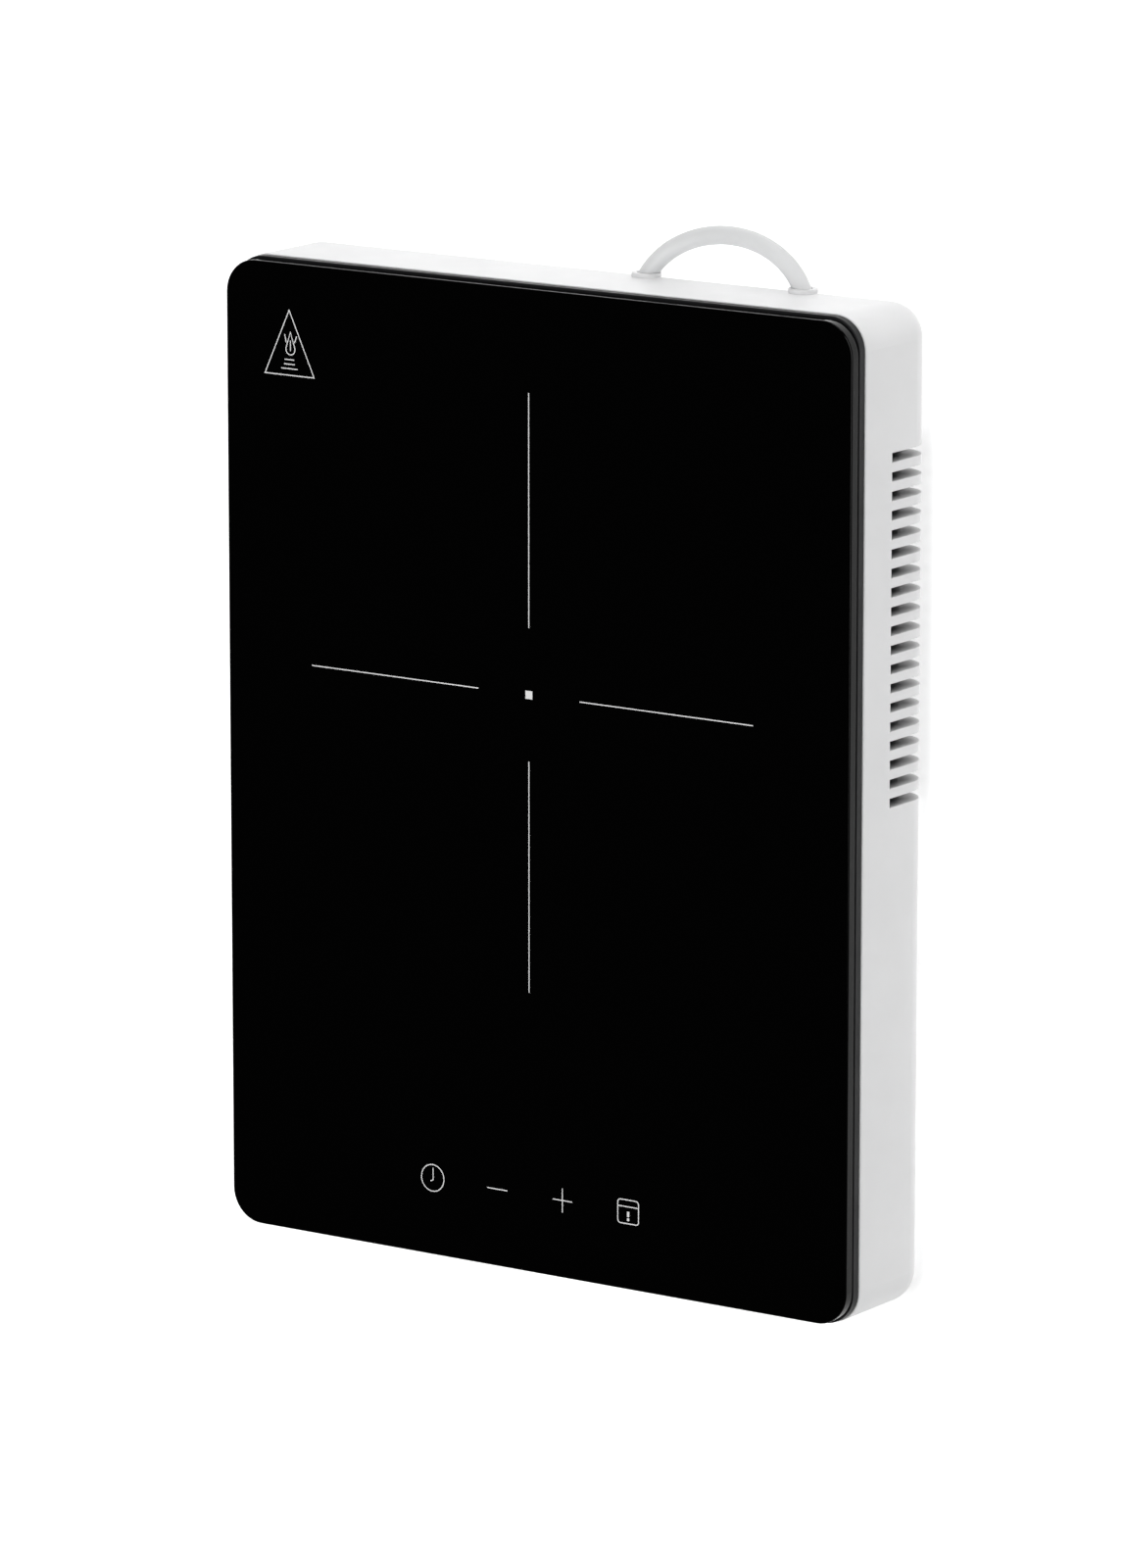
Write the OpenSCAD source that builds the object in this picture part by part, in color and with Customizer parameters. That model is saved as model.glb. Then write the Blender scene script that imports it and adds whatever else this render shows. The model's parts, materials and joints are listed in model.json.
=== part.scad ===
// Portable induction cooktop with one cooking zone, lying flat with the glass up (+Z).
// The touch keys are at -Y, the hanging loop is at +Y, and +X is the right-hand side.
// The origin is the centre of the whole box, loop included, on the plane that the feet stand on.

/* [Body] */
// Width of the glass, the frame and the housing
body_w = 270; // [260:1:290]
// Depth of the frame and the housing, front to rear
body_l = 363; // [358:1:380]
// Radius of the four upright corners
corner_r = 12.5; // [12.5:0.5:18]
// Radius of the rounded bottom edge
edge_r = 12; // [9:0.5:12]
// Height of the housing below the black frame
housing_h = 45.2; // [45:0.1:46]
// Thickness of the housing's walls and floor
wall = 2.5; // [2:0.1:3]
// Height that the feet stand proud of the floor
foot_proud = 3; // [2:0.5:4]

/* [Glass] */
// Height of the black frame between the housing and the glass
frame_h = 3.7; // [3.5:0.1:4.5]
// Distance that the frame stays back from the housing's outline
frame_set_back = 0.4; // [0.2:0.1:0.6]
// Thickness of the gasket under the glass
gasket_h = 1.1; // [1:0.1:1.6]
// Thickness of the glass
glass_h = 4; // [4:0.1:5]
// Distance that the glass stays back from the frame's front and rear edges
glass_set_back = 1.3; // [0.5:0.1:2]
// Thickness of the white enamel marks
print_h = 0.1; // [0.1:0.05:0.2]
// Width of the lines of the marks
line_w = 0.4; // [0.3:0.05:1]

/* [Cooking zone] */
// Centre of the zone to the right of the middle
zone_x = -1.5; // [-3:0.5:3]
// Centre of the zone to the rear of the middle
zone_y = 33.4; // [30:0.1:36]
// Outer radius of the coil's winding
coil_r = 90; // [84:1:90]
// Number of turns of the winding
coil_turns = 20; // [16:1:20]

/* [Keys] */
// Distance of the row of keys from the middle, to the front
key_y = 151.3; // [149:0.1:152]
// Distance between neighbouring keys
key_pitch = 28.7; // [26:0.1:30]

/* [Side slots] */
// Number of slots in each side
slot_count = 19; // [10:1:19]
// Distance between neighbouring slots
slot_pitch = 6.87; // [6.5:0.01:6.9]
// Width of one slot
slot_w = 3.4; // [2.5:0.1:3.6]
// Height of the slots above the housing's underside
slot_top = 27.8; // [24:0.1:30]
// Distance of the rearmost slot from the middle
slot_rear = 129.3; // [128:0.1:131]
// Depth of the ribs between the slots
rib_depth = 8; // [5:0.5:9]

/* [Hanging loop] */
// Distance of the loop's middle from the middle of the rear face
loop_x = 54; // [30:1:60]
// Height of the loop's ends above the housing's underside
loop_z = 12.1; // [12:0.1:18]
// Distance between the middles of the loop's ends
loop_span = 66.6; // [50:0.1:72]
// Distance that the middle of the cord stands out of the rear face
loop_rise = 17.3; // [15:0.1:24]
// Thickness of the loop
loop_d = 6.8; // [6:0.1:7.2]
// Angle that the loop leans down
loop_lean = 10; // [0:1:12]

/* [Fan] */
// Side of the fan's square frame
fan_size = 80; // [80:1:80]
// Height of the fan's frame
fan_h = 15; // [15:0.5:16]
// Number of blades
fan_blades = 9; // [7:2:11]

/* [Hidden] */
$fn = 64;

WHITE = "white";
BLACK = [0.05, 0.05, 0.06];
BOARD = [0.12, 0.36, 0.22];
STEEL = [0.72, 0.72, 0.74];
COPPER = [0.72, 0.42, 0.22];

quadrants = [[1, 1], [-1, 1], [-1, -1], [1, -1]];
eps = 0.01;

// Levels, from the plane of the feet up
base_z = foot_proud;
floor_z = base_z + wall;
rim_z = base_z + housing_h;
gasket_z = rim_z + frame_h;
glass_z = gasket_z + gasket_h;
glass_top = glass_z + glass_h;
glass_l = body_l - 2 * glass_set_back;

// The loop reaches past the rear face, so the body sits forward of the origin by half of that.
loop_reach = loop_rise * cos(loop_lean) + loop_d / 2;
body_y = -loop_reach / 2;

// Screw towers of the housing, and the frame's bosses that stand on them
tower_top = rim_z - 7.6;
tower_r = 5;
screw_seat = tower_top - 4;
screw_r = 1.75;
head_r = 3.4;
towers = concat(
    [for (q = quadrants) [q.x * (body_w / 2 - 18), q.y * (body_l / 2 - 18)]],
    [[body_w / 2 - 13, -60], [-body_w / 2 + 13, -60], [-20, body_l / 2 - 15]]
);

// Feet
foot_r = 8;
foot_recess = 0.8;
foot_stud_r = 2.5;
feet = [for (q = quadrants) [q.x * (body_w / 2 - 27), q.y * (body_l / 2 - 30)]];

// Mains cord inlet in the left wall, near the rear
inlet_y = body_l / 2 - 30;
inlet_z = base_z + 22;
cord_hole_r = 3.6;
grommet_neck_r = 5.5;
grommet_flange_r = 7.5;

// Radius of the self-tapping screws' shanks and of their pilot holes in the housing's posts
pilot_r = 1.5;
fan_post_r = 4;
board_post_r = 3.5;

// Coil and its three spring posts
zone = [zone_x, zone_y];
former_r = coil_r + 5;
former_z = glass_z - 9.4;
former_h = 3.2;
winding_z = former_z + former_h;
wire_d = 3.3;
winding_h = wire_d;
mica_h = 0.6;
post_reach = former_r + 5;
post_angles = [90, 210, 330];
post_top = 28;
post_r = 4;
ferrite_h = 3;
ferrite_count = 8;
// Top of the temperature sensor's bead, and of the cavity that holds it
bead_top = glass_z - 1.2;

// Fan, in the rear left of the housing above the intake grille
fan_at = [-72, 100];
fan_z = floor_z + 2;
fan_hole = fan_size / 2 - 4.25;
fan_bore_r = fan_size / 2 - 2;
hub_r = 17;
shaft_r = 1.5;
bearing_gap = 0.05;

// Power board
board_at = [0, -78];
board_size = [170, 110];
board_h = 1.6;
board_z = floor_z + 6.5;
board_top = board_z + board_h;
board_holes = [for (q = quadrants) [board_at.x + q.x * 81, board_at.y + q.y * 51]];

// Control board under the keys
carrier_z = 37;
carrier_h = 2;
carrier_screw_r = 1.25;
control_z = 41.6;
control_top = control_z + board_h;
control_at = [0, -body_l / 2 + 32];
control_size = [140, 37];
keys = [for (i = [0:3]) [(i - 1.5) * key_pitch - 1.3, -key_y]];
carrier_holes = [[62, -body_l / 2 + 15.5], [-62, -body_l / 2 + 15.5]];

// ---------------------------------------------------------------- building blocks

// Everything is drawn about the middle of the body's footprint, then moved to its place.
module placed() {
    translate([0, body_y, 0]) children();
}

module at(points) {
    for (p = points) translate([p.x, p.y, 0]) children();
}

module box(low, high) {
    translate(low) cube(high - low);
}

// Rectangle with round corners
module round_rect(w, l, r) {
    square([w - 2 * r, l], center = true);
    square([w, l - 2 * r], center = true);
    for (q = quadrants) translate([q.x * (w / 2 - r), q.y * (l / 2 - r)]) circle(r);
}

module plate(w, l, r, z, h) {
    translate([0, 0, z]) linear_extrude(h) round_rect(w, l, r);
}

module ring(r_out, r_in, z, h) {
    translate([0, 0, z]) difference() {
        cylinder(r = r_out, h = h);
        translate([0, 0, -1]) cylinder(r = r_in, h = h + 2);
    }
}

// The sharp piece outside a rounding of radius r, for a corner whose point is at [0, 0]
module corner_waste(r) {
    difference() {
        translate([-r, 0]) square(r);
        translate([-r, r]) circle(r);
    }
}

// What rounds off the right-hand edge at x of a section of height h, by low below and high above
module edge_waste(x, h, low, high) {
    if (low > 0) translate([x, 0]) corner_waste(low);
    if (high > 0) translate([x, h]) mirror([0, 1]) corner_waste(high);
}

// Upright rectangle from [-w / 2, 0] with rounded corners
module rounded_bar(w, h, low, high) {
    difference() {
        translate([-w / 2, 0]) square([w, h]);
        edge_waste(w / 2, h, low, high);
        mirror([1, 0]) edge_waste(w / 2, h, low, high);
    }
}

// Block with upright corners of corner radius, and its lower and upper edges rounded
module tray_block(w, l, h, corner, low, high = 0) {
    rotate([90, 0, 0]) translate([0, 0, corner - l / 2])
        linear_extrude(l - 2 * corner) rounded_bar(w, h, low, high);
    rotate([90, 0, 90]) translate([0, 0, corner - w / 2])
        linear_extrude(w - 2 * corner) rounded_bar(l, h, low, high);
    for (i = [0:3])
        translate([quadrants[i].x * (w / 2 - corner), quadrants[i].y * (l / 2 - corner), 0])
            rotate(90 * i) rotate_extrude(angle = 90) difference() {
                square([corner, h]);
                edge_waste(corner, h, low, high);
            }
}

function unit(v) = v / norm(v);

// Ring of n points about centre c, in the plane of the unit vectors a and b
function ring_points(c, a, b, r, n) =
    [for (i = [0:n - 1]) c + r * (cos(360 * i / n) * a + sin(360 * i / n) * b)];

// Solid through a list of rings that all have n points, capped flat at both ends
module skin(rings, n) {
    last = len(rings) - 1;
    sides = [
        for (k = [0:last - 1], i = [0:n - 1])
            let (a = k * n + i, b = k * n + (i + 1) % n)
            each [[a, a + n, b + n], [a, b + n, b]]
    ];
    points = [for (k = [0:last]) each rings[k]];
    caps = [[for (i = [0:n - 1]) i], [for (i = [n - 1:-1:0]) last * n + i]];
    polyhedron(points, concat(sides, caps), convexity = 10);
}

// Direction of a path at point i, from its neighbours
function heading(path, i) =
    unit(path[min(i + 1, len(path) - 1)] - path[max(i - 1, 0)]);

// Round tube of radius r along a path that never runs parallel to side
module tube(path, r, n, side) {
    rings = [
        for (i = [0:len(path) - 1])
            let (t = heading(path, i), a = unit(cross(t, side)), b = cross(t, a))
            ring_points(path[i], a, b, r, n)
    ];
    skin(rings, n);
}

// Catmull-Rom curve through the inner points of a list
function curve_point(p, i, t) =
    0.5 * (2 * p[i] + (p[i + 1] - p[i - 1]) * t
        + (2 * p[i - 1] - 5 * p[i] + 4 * p[i + 1] - p[i + 2]) * t * t
        + (3 * p[i] - p[i - 1] - 3 * p[i + 1] + p[i + 2]) * t * t * t);
function curve(p, steps) = concat(
    [for (i = [1:len(p) - 3], s = [0:steps - 1]) curve_point(p, i, s / steps)],
    [p[len(p) - 2]]
);
// The same with its end points doubled, so that it runs from the first point to the last
function lead_path(p, steps) =
    curve(concat([2 * p[0] - p[1]], p, [2 * p[len(p) - 1] - p[len(p) - 2]]), steps);

// Coil spring about Z from z_low to z_high
module spring(r, wire_r, z_low, z_high, turns) {
    steps = 12;
    count = turns * steps;
    rise = z_high - z_low - 2 * wire_r;
    path = [
        for (i = [0:count])
            let (a = 360 * i / steps)
            [r * cos(a), r * sin(a), z_low + wire_r + rise * i / count]
    ];
    tube(path, wire_r, 6, [0, 0, 1]);
}

// Screw that points up, with its head below the seat and a cross recess in the head
module screw_up(seat_z, length, shank_r, cap_r, cap_h) {
    difference() {
        union() {
            translate([0, 0, seat_z - cap_h]) cylinder(r = cap_r, h = cap_h);
            translate([0, 0, seat_z - eps]) cylinder(r = shank_r, h = length + eps);
        }
        cross_recess(seat_z - cap_h, cap_r, cap_h);
    }
}

// Screw that points down, with its head above the seat
module screw_down(seat_z, length, shank_r, cap_r, cap_h) {
    translate([0, 0, seat_z]) mirror([0, 0, 1]) screw_up(0, length, shank_r, cap_r, cap_h);
}

module cross_recess(z, cap_r, cap_h) {
    arm = cap_r * 1.1;
    slit = cap_r * 0.28;
    for (turn = [0, 90])
        translate([0, 0, z]) rotate(turn)
            cube([arm, slit, cap_h * 1.1], center = true);
}

// ---------------------------------------------------------------- glass and its marks

module glass_plate() {
    color(BLACK) difference() {
        placed() translate([0, 0, glass_z])
            tray_block(body_w, glass_l, glass_h, corner_r, 0.4, 0.5);
        printed(1) {
            zone_marks();
            key_marks();
        }
    }
}

// One printed line of the given length, along X before it is turned
module stroke(length) {
    square([length, line_w], center = true);
}

module outline_ring(r) {
    difference() {
        circle(r);
        circle(r - line_w);
    }
}

// Line from a to b in the plane
module segment(a, b) {
    d = b - a;
    translate((a + b) / 2) rotate(atan2(d.y, d.x)) stroke(norm(d) + line_w);
}

// Marks lie flush in the glass. above is how far the solid goes on above the surface.
module printed(above = 0) {
    placed() translate([0, 0, glass_top - print_h]) linear_extrude(print_h + above) children();
}

module zone_print() {
    color(WHITE) printed() zone_marks();
}

module key_print() {
    color(WHITE) printed() key_marks();
}

// Cross hair that marks the middle of the zone, and a plain heat sign in the rear left corner
module zone_marks() {
    across_in = 22;
    across_out = 96;
    along_in = 24.4;
    along_out = 109.5;
    dot = 3;
    translate(zone) {
        square(dot, center = true);
        for (side = [-1, 1]) {
            translate([side * (across_in + across_out) / 2, 0])
                stroke(across_out - across_in);
            translate([0, side * (along_in + along_out) / 2]) rotate(90)
                stroke(along_out - along_in);
        }
    }
    translate([-body_w / 2 + 28.2, body_l / 2 - 42.1]) heat_sign();
}

// Triangle with a flame above a stack of bars
module heat_sign() {
    half_w = 11;
    height = 23.8;
    a = [-half_w, 0];
    b = [half_w, 0];
    c = [0, height];
    bars = [7.3, 4.8, 4.3];
    segment(a, b);
    segment(b, c);
    segment(c, a);
    for (p = [a, b, c]) translate(p) circle(line_w / 2);
    for (i = [0:len(bars) - 1]) translate([0, 2.4 + 1.65 * i]) stroke(bars[i]);
    translate([0.5, 7.3]) flame();
}

// Outline of a flame that stands on [0, 0], with a tongue inside and a wisp on each side
module flame() {
    belly = 2.2;
    tip = 8.7;
    difference() {
        flame_body(belly, tip);
        translate([0, line_w]) flame_body(belly - line_w, tip - 3 * line_w);
    }
    segment([0, 1.8], [0, 5.2]);
    segment([-1.9, 4.8], [-2.5, 7.4]);
    segment([1.9, 4.8], [2.7, 7]);
}

module flame_body(belly, tip) {
    hull() {
        translate([0, belly]) circle(belly);
        translate([0, tip - 0.1]) circle(0.1);
    }
}

// Timer, less, more and lock keys
module key_marks() {
    translate(keys[0]) clock_sign();
    translate(keys[1]) stroke(9);
    translate(keys[2]) {
        stroke(8.6);
        rotate(90) stroke(9);
    }
    translate(keys[3]) lock_sign();
}

module clock_sign() {
    outline_ring(5.2);
    segment([0.2, 3.6], [0.2, -0.6]);
    segment([0.2, -0.6], [-0.8, -1.2]);
}

module lock_sign() {
    w = 9.4;
    l = 9.2;
    r = 1.4;
    difference() {
        round_rect(w, l, r);
        round_rect(w - 2 * line_w, l - 2 * line_w, r - line_w);
    }
    translate([0, 1.9]) stroke(w - line_w);
    translate([0, -0.9]) square([1, 2], center = true);
    translate([0, -2.9]) square([1, 1], center = true);
}

// ---------------------------------------------------------------- frame and housing

module glass_gasket() {
    inset = 0.8;
    band = 9;
    color([0.02, 0.02, 0.02]) placed() difference() {
        plate(body_w - 2 * inset, glass_l - 2 * inset, corner_r - inset, gasket_z, gasket_h);
        plate(body_w - 2 * band, glass_l - 2 * band, corner_r - band, gasket_z - 1, gasket_h + 2);
    }
}

// Black frame that carries the glass, with a lip inside the housing and a boss for each screw
module glass_frame() {
    ledge = 20;
    lip_gap = 0.2;
    lip_h = 4;
    lip_w = 2;
    outer = wall + lip_gap;
    inner = outer + lip_w;
    boss_r = 4.5;
    carrier_boss_r = 4;
    pilot_top = rim_z - 1;
    soft_edge = 0.4;
    color([0.08, 0.08, 0.09]) placed() difference() {
        union() {
            difference() {
                union() {
                    translate([0, 0, rim_z])
                        tray_block(body_w - 2 * frame_set_back, body_l - 2 * frame_set_back,
                            frame_h, corner_r - frame_set_back, soft_edge, soft_edge);
                    plate(body_w - 2 * outer, body_l - 2 * outer, corner_r - outer,
                        rim_z - lip_h, lip_h);
                }
                plate(body_w - 2 * ledge, body_l - 2 * ledge, 3, rim_z, frame_h + 1);
                plate(body_w - 2 * inner, body_l - 2 * inner, corner_r - inner,
                    rim_z - lip_h - 1, lip_h + 1);
            }
            at(towers) translate([0, 0, tower_top])
                cylinder(r = boss_r, h = rim_z + 2 - tower_top);
            at(carrier_holes) translate([0, 0, carrier_z + carrier_h])
                cylinder(r = carrier_boss_r, h = rim_z + 2 - carrier_z - carrier_h);
        }
        at(towers) translate([0, 0, tower_top - 1])
            cylinder(r = screw_r, h = pilot_top - tower_top + 1);
        at(carrier_holes) translate([0, 0, carrier_z])
            cylinder(r = carrier_screw_r, h = pilot_top - carrier_z);
    }
}

module housing() {
    rib_top = slot_top + 3;
    rib_run = slot_count * slot_pitch + 4;
    rib_mid = [
        body_w / 2 - wall - rib_depth / 2 + eps,
        slot_rear - (slot_count - 1) * slot_pitch / 2,
        base_z + rib_top / 2
    ];
    // Towers and posts start inside the floor.
    root_z = base_z + wall / 2;
    color(WHITE) placed() difference() {
        union() {
            difference() {
                translate([0, 0, base_z])
                    tray_block(body_w, body_l, housing_h, corner_r, edge_r, 0.5);
                translate([0, 0, floor_z])
                    tray_block(body_w - 2 * wall, body_l - 2 * wall, housing_h,
                        corner_r - wall, edge_r - wall);
            }
            for (side = [-1, 1]) intersection() {
                translate([side * rib_mid.x, rib_mid.y, rib_mid.z])
                    cube([rib_depth + 0.1, rib_run, rib_top], center = true);
                translate([0, 0, root_z])
                    tray_block(body_w - wall, body_l - wall, housing_h,
                        corner_r - wall / 2, edge_r - wall / 2);
            }
            at(towers) translate([0, 0, root_z]) cylinder(r = tower_r, h = tower_top - root_z);
            at_posts() translate([0, 0, root_z]) cylinder(r = post_r, h = post_top - root_z);
            translate(fan_at) at(fan_corners()) translate([0, 0, root_z])
                cylinder(r = fan_post_r, h = fan_z - root_z);
            at(board_holes) translate([0, 0, root_z])
                cylinder(r = board_post_r, h = board_z - root_z);
            clamp_bed();
        }
        side_slots();
        intake_grille();
        at(towers) {
            translate([0, 0, base_z - 1]) cylinder(r = head_r + 0.35, h = screw_seat - base_z + 1);
            translate([0, 0, screw_seat - 1])
                cylinder(r = screw_r + 0.15, h = tower_top - screw_seat + 2);
        }
        at(feet) {
            translate([0, 0, base_z - 1]) cylinder(r = foot_r, h = 1 + foot_recess);
            translate([0, 0, base_z]) cylinder(r = foot_stud_r + 0.05, h = wall + 1);
        }
        at_posts() translate([0, 0, floor_z + 8]) cylinder(r = pilot_r, h = post_top);
        translate(fan_at) at(fan_corners()) translate([0, 0, base_z + 1])
            cylinder(r = pilot_r, h = fan_z);
        at(board_holes) translate([0, 0, base_z + 1]) cylinder(r = pilot_r, h = board_z);
        translate([-body_w / 2 - 1, inlet_y, inlet_z]) rotate([0, 90, 0])
            cylinder(r = grommet_neck_r, h = wall + 2);
        loop_ends() loop_hole();
    }
}

// Slots through both side walls and the rounded edge below them, each with a square top
module side_slots() {
    reach = 14;
    depth = reach + 1;
    for (side = [-1, 1], i = [0:slot_count - 1])
        translate([side * (body_w / 2 - reach + depth / 2), slot_rear - i * slot_pitch, base_z - 1])
            block(depth, slot_w, slot_top + 1);
}

// Parallel slots inside a circle below the fan
module intake_grille() {
    pitch = 5.6;
    gap = 2.8;
    reach = fan_bore_r - 2;
    rows = floor(reach / pitch);
    translate([fan_at.x, fan_at.y, base_z - 1]) linear_extrude(wall + 2)
        for (i = [-rows:rows]) let (half = sqrt(reach * reach - pow(i * pitch, 2)) - 1.5)
            for (side = [-1, 1]) translate([side * (half + 2) / 2, i * pitch])
                square([max(half - 2, 2), gap], center = true);
}

function fan_corners() = [for (q = quadrants) q * fan_hole];

module rubber_feet() {
    dish_r = 5;
    color([0.25, 0.25, 0.26]) placed() at(feet) difference() {
        union() {
            cylinder(r1 = foot_r - 0.8, r2 = foot_r - 0.1, h = foot_proud + foot_recess);
            translate([0, 0, foot_proud]) cylinder(r = foot_stud_r, h = wall + 0.5);
            translate([0, 0, floor_z]) cylinder(r1 = foot_stud_r + 1, r2 = foot_stud_r - 0.5, h = 2.5);
        }
        translate([0, 0, -1]) cylinder(r = dish_r, h = 1.6);
    }
}

module housing_screws() {
    color(STEEL) placed() at(towers) screw_up(screw_seat, 10, screw_r, head_r, 2.4);
}

// ---------------------------------------------------------------- hanging loop

// The cord follows an ellipse whose middle lies inside the rear face, in a plane that leans down.
ellipse_in = 9.6;
ellipse_b = loop_rise + ellipse_in;
ellipse_start = asin(ellipse_in / ellipse_b);
ellipse_a = loop_span / 2 / cos(ellipse_start);
loop_out = [0, cos(loop_lean), -sin(loop_lean)];
loop_normal = [0, sin(loop_lean), cos(loop_lean)];
loop_root = [loop_x, body_l / 2, base_z + loop_z];

function loop_flat(x, y) = loop_root + x * [1, 0, 0] + y * loop_out;
function loop_at(t) = loop_flat(ellipse_a * cos(t), ellipse_b * sin(t) - ellipse_in);
// Direction in which the cord goes into the face at its right end
loop_entry = unit(loop_at(ellipse_start) - loop_at(ellipse_start + 0.5));

module hanging_loop() {
    sides = 24;
    steps = 40;
    head = 4.7;
    r = loop_d / 2;
    ahead = loop_entry;
    back = [-loop_entry.x, loop_entry.y, loop_entry.z];
    right = loop_at(ellipse_start);
    left = loop_at(180 - ellipse_start);
    // Each entry is [distance inside the face, radius]: the cord, then its retaining head
    head_rings = [[3, r], [6.4, r], [6.4, head], [9.6, head], [10.2, head - 0.7]];
    arc = [
        for (i = [0:steps])
            let (
                t = ellipse_start + (180 - 2 * ellipse_start) * i / steps,
                d = unit([-ellipse_a * sin(t), ellipse_b * cos(t), 0]),
                along = d.x * [1, 0, 0] + d.y * loop_out
            )
            ring_points(loop_at(t), cross(along, loop_normal), -loop_normal, r, sides)
    ];
    right_end = [
        for (i = [len(head_rings) - 1:-1:0])
            ring_points(right + head_rings[i][0] * ahead, cross(-ahead, loop_normal),
                -loop_normal, head_rings[i][1], sides)
    ];
    left_end = [
        for (h = head_rings)
            ring_points(left + h[0] * back, cross(back, loop_normal), -loop_normal, h[1], sides)
    ];
    color([0.85, 0.86, 0.87]) placed() skin(concat(right_end, arc, left_end), sides);
}

// Puts its child at both ends of the loop, with +Z along the cord into the face
module loop_ends() {
    lean = atan2(loop_entry.x, -loop_entry.y / cos(loop_lean));
    for (side = [-1, 1])
        translate(loop_root) rotate([-loop_lean, 0, 0]) mirror([side < 0 ? 1 : 0, 0, 0])
            translate([loop_span / 2, 0, 0]) rotate([90, 0, 0]) rotate([0, lean, 0]) children();
}

// The hole is wider than the cord, which starts to bend just outside it.
module loop_hole() {
    loop_gap = 0.35;
    translate([0, 0, -8]) cylinder(r = loop_d / 2 + loop_gap, h = 18);
}

// Flat collars round the cord where it goes into the rear face
module loop_collars() {
    collar_r = 5.35;
    collar_h = 1.5;
    color([0.93, 0.93, 0.93]) placed() difference() {
        for (side = [-1, 1])
            translate([loop_x + side * loop_span / 2, body_l / 2, base_z + loop_z])
                rotate([-90, 0, 0]) cylinder(r = collar_r, h = collar_h);
        loop_ends() loop_hole();
    }
}

// ---------------------------------------------------------------- mains inlet

// Bush for the mains cord in the left wall
module cord_grommet() {
    color([0.1, 0.1, 0.1]) placed() translate([-body_w / 2, inlet_y, inlet_z]) rotate([0, 90, 0])
        difference() {
            union() {
                cylinder(r = grommet_neck_r, h = wall);
                translate([0, 0, wall]) cylinder(r = grommet_flange_r, h = 2);
            }
            translate([0, 0, -1]) cylinder(r = cord_hole_r, h = wall + 4);
        }
}

clamp_x = -body_w / 2 + 15;
clamp_half = [3, 6.5];
clamp_h = 5;
clamp_screw_r = 1.1;
clamp_screw_y = 5;

// Block that the cord lies on inside the inlet, with a groove for it
module clamp_bed() {
    difference() {
        box([clamp_x - clamp_half.x, inlet_y - clamp_half.y, base_z + wall / 2],
            [clamp_x + clamp_half.x, inlet_y + clamp_half.y, inlet_z]);
        cord_path();
        clamp_holes(inlet_z - 8, 9);
    }
}

module cord_path() {
    translate([clamp_x - 10, inlet_y, inlet_z]) rotate([0, 90, 0]) cylinder(r = 3.2, h = 20);
}

module clamp_holes(z, h) {
    for (side = [-1, 1]) translate([clamp_x, inlet_y + side * clamp_screw_y, z])
        cylinder(r = clamp_screw_r, h = h);
}

module cord_clamp() {
    color([0.75, 0.75, 0.74]) placed() difference() {
        box([clamp_x - clamp_half.x, inlet_y - clamp_half.y, inlet_z],
            [clamp_x + clamp_half.x, inlet_y + clamp_half.y, inlet_z + clamp_h]);
        cord_path();
        clamp_holes(inlet_z - 1, clamp_h + 2);
    }
}

module cord_clamp_screws() {
    color(STEEL) placed() for (side = [-1, 1])
        translate([clamp_x, inlet_y + side * clamp_screw_y, 0])
            screw_down(inlet_z + clamp_h, 11, clamp_screw_r, 1.5, 1.3);
}

// ---------------------------------------------------------------- coil

module at_posts() {
    translate(zone) for (a = post_angles) rotate(a) translate([post_reach, 0, 0]) children();
}

module coil_former() {
    rail_h = 2;
    color([0.86, 0.84, 0.78]) placed() difference() {
        union() {
            translate([zone.x, zone.y, former_z]) cylinder(r = former_r, h = former_h);
            at_posts() translate([0, 0, former_z]) cylinder(r = 5, h = former_h);
            at_posts() translate([-5, 0, former_z + former_h / 2])
                cube([10, 10, former_h], center = true);
            at_ferrites() for (side = [-1, 1])
                translate([0, side * 7, former_z - rail_h / 2 + eps])
                    cube([44, 1.6, rail_h], center = true);
        }
        translate([zone.x, zone.y, former_z - 3]) cylinder(r = 11, h = former_h + 6);
        at_posts() translate([0, 0, former_z - 1]) cylinder(r = 1.7, h = former_h + 2);
    }
}

// Winding of thick stranded wire: one turn beside the other on the former
module coil_winding() {
    color(COPPER) placed() translate([zone.x, zone.y, winding_z]) rotate_extrude() {
        translate([coil_r - coil_turns * wire_d + wire_d / 2, 0])
            square([(coil_turns - 1) * wire_d, wire_d / 2]);
        for (i = [0:coil_turns - 1])
            translate([coil_r - (i + 0.5) * wire_d, wire_d / 2]) circle(wire_d / 2);
    }
}

module at_ferrites() {
    translate(zone) for (i = [0:ferrite_count - 1])
        rotate((i + 0.5) * 360 / ferrite_count) translate([58, 0, 0]) children();
}

module ferrite_bars() {
    color([0.2, 0.2, 0.22]) placed() at_ferrites()
        translate([0, 0, former_z - ferrite_h / 2]) cube([50, 12, ferrite_h], center = true);
}

module insulation_sheet() {
    color([0.9, 0.87, 0.75]) placed() translate([zone.x, zone.y, 0])
        ring(former_r - 2, 20, winding_z + winding_h, mica_h);
}

module coil_springs() {
    color(STEEL) placed() at_posts() spring(3.2, 0.5, post_top, former_z, 5);
}

module coil_screws() {
    color(STEEL) placed() at_posts() screw_down(winding_z, 26, pilot_r, 3, 1.8);
}

// Soft cap that presses the sensor to the underside of the glass
module sensor_cap() {
    cavity_r = 2.6;
    color([0.7, 0.25, 0.2]) placed() translate([zone.x, zone.y, 0]) difference() {
        union() {
            translate([0, 0, former_z - 1.5]) cylinder(r = 8, h = glass_z - former_z + 1.5);
            translate([0, 0, winding_z]) cylinder(r = 15, h = 1.2);
        }
        translate([0, 0, former_z - 3]) cylinder(r = cavity_r, h = bead_top - former_z + 3);
    }
}

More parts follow.
